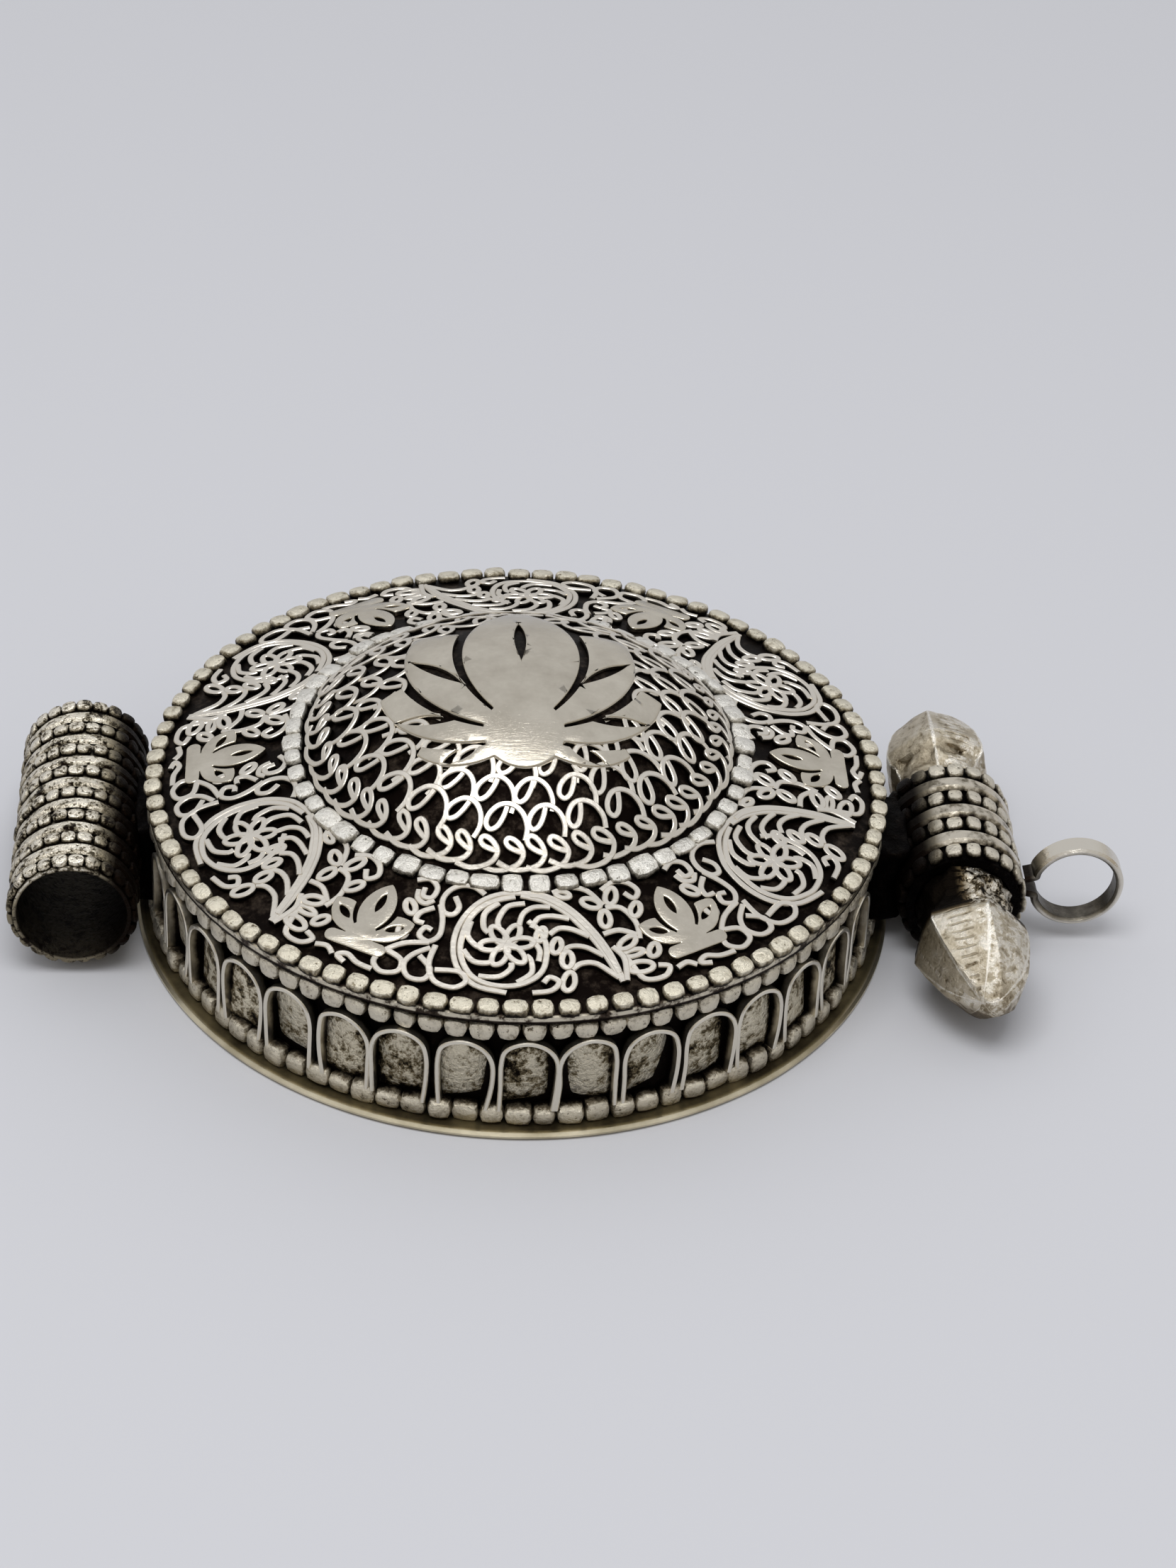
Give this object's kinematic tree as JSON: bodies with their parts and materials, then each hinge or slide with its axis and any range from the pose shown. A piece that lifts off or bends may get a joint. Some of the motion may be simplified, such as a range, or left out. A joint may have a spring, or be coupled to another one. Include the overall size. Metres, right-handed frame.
{
  "type": "ghau amulet box",
  "caption": "Round domed filigree amulet box worn as a pendant, with a pull-off back cover, a beaded cord tube on one side and a finial bar with a hanging ring on the other.",
  "frame": {"origin": "centre of the back plate's outer face, on the box's axis", "axes": "+X from the cord tube towards the hanging ring, +Y along the tube and the bar, +Z out of the domed front"},
  "size_m": [0.0895, 0.0614, 0.0227],
  "materials": {
    "back_brass": "worn silvered brass sheet, satin",
    "oxidised_sheet": "blackened white metal sheet, matt in the recesses",
    "filigree_silver": "white metal wire, ground and polished on top",
    "bead_silver": "white metal shot, polished on top, dark between",
    "polished_sheet": "polished white metal sheet",
    "tube_silver": "mottled antique white metal",
    "cast_finial": "cast white metal, pitted, filed bright on the ridges",
    "ring_silver": "polished white metal band"
  },
  "bodies": {
    "back_cover": {"back_plate": "back_brass", "back_collar": "back_brass"},
    "front_shell": {"side_wall": "oxidised_sheet", "front_plate": "oxidised_sheet", "wall_arches": "filigree_silver", "border_curls": "filigree_silver", "dome_emblem": "polished_sheet", "cord_tube": "tube_silver", "tube_bead_rings": "tube_silver", "tube_plain_rings": "tube_silver", "tube_saddle": "oxidised_sheet", "bar_barrel": "oxidised_sheet", "bar_bead_rings": "bead_silver", "bar_plain_bands": "bead_silver", "finial_near": "cast_finial", "finial_far": "cast_finial", "hanging_ring": "ring_silver", "bar_saddle": "oxidised_sheet", "front_rim_beads": "bead_silver", "dome_border_beads": "bead_silver", "wall_upper_beads": "bead_silver", "wall_lower_beads": "bead_silver", "rosette_1": "filigree_silver", "rosette_2": "filigree_silver", "rosette_3": "filigree_silver", "rosette_4": "filigree_silver", "rosette_5": "filigree_silver", "rosette_6": "filigree_silver", "dome_scales_1": "filigree_silver", "dome_scales_2": "filigree_silver", "dome_scales_3": "filigree_silver", "ornament_plate_1": "polished_sheet", "ornament_plate_2": "polished_sheet", "ornament_plate_3": "polished_sheet", "ornament_plate_4": "polished_sheet", "ornament_plate_5": "polished_sheet", "ornament_plate_6": "polished_sheet"}
  },
  "joints": [
    {"name": "cover_pull", "type": "slide", "parent": "back_cover", "child": "front_shell", "axis": [0, 0, 1], "range_m": [0, 0.03]}
  ]
}
